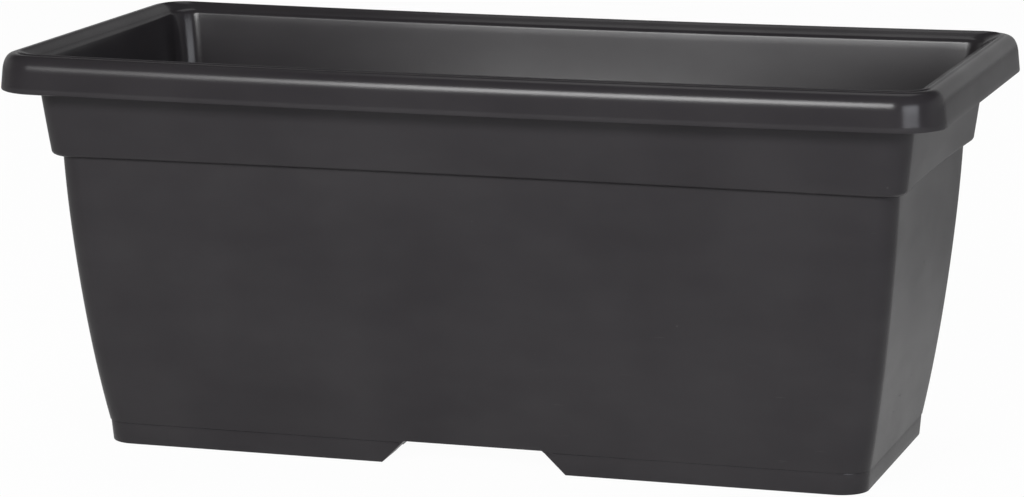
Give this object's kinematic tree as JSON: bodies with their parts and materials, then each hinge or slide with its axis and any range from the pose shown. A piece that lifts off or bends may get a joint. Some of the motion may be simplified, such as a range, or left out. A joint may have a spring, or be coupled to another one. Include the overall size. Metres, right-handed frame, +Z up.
{
  "type": "window box planter",
  "caption": "Deep rectangular window box planter with a rolled rim, stepped band, bowed tapering walls, feet with a gap between them and pull-out drain plugs.",
  "frame": {"origin": "on the ground under the middle of the trough, at the bottom centre of its box", "axes": "+X along the trough's length, +Y from its front to its back, +Z up"},
  "size_m": [0.8, 0.386, 0.341],
  "materials": {
    "anthracite_plastic": "satin moulded polypropylene, dark anthracite",
    "plug_plastic": "satin moulded polyethylene, near black"
  },
  "bodies": {
    "trough": {"trough_shell": "anthracite_plastic"},
    "plug_1": {"drain_plug_1": "plug_plastic"},
    "plug_2": {"drain_plug_2": "plug_plastic"},
    "plug_3": {"drain_plug_3": "plug_plastic"},
    "plug_4": {"drain_plug_4": "plug_plastic"}
  },
  "joints": [
    {"name": "plug_1_pull", "type": "slide", "parent": "trough", "child": "plug_1", "axis": [0, 0, 1], "range_m": [0, 0.04]},
    {"name": "plug_2_pull", "type": "slide", "parent": "trough", "child": "plug_2", "axis": [0, 0, 1], "range_m": [0, 0.04]},
    {"name": "plug_3_pull", "type": "slide", "parent": "trough", "child": "plug_3", "axis": [0, 0, 1], "range_m": [0, 0.04]},
    {"name": "plug_4_pull", "type": "slide", "parent": "trough", "child": "plug_4", "axis": [0, 0, 1], "range_m": [0, 0.04]}
  ]
}
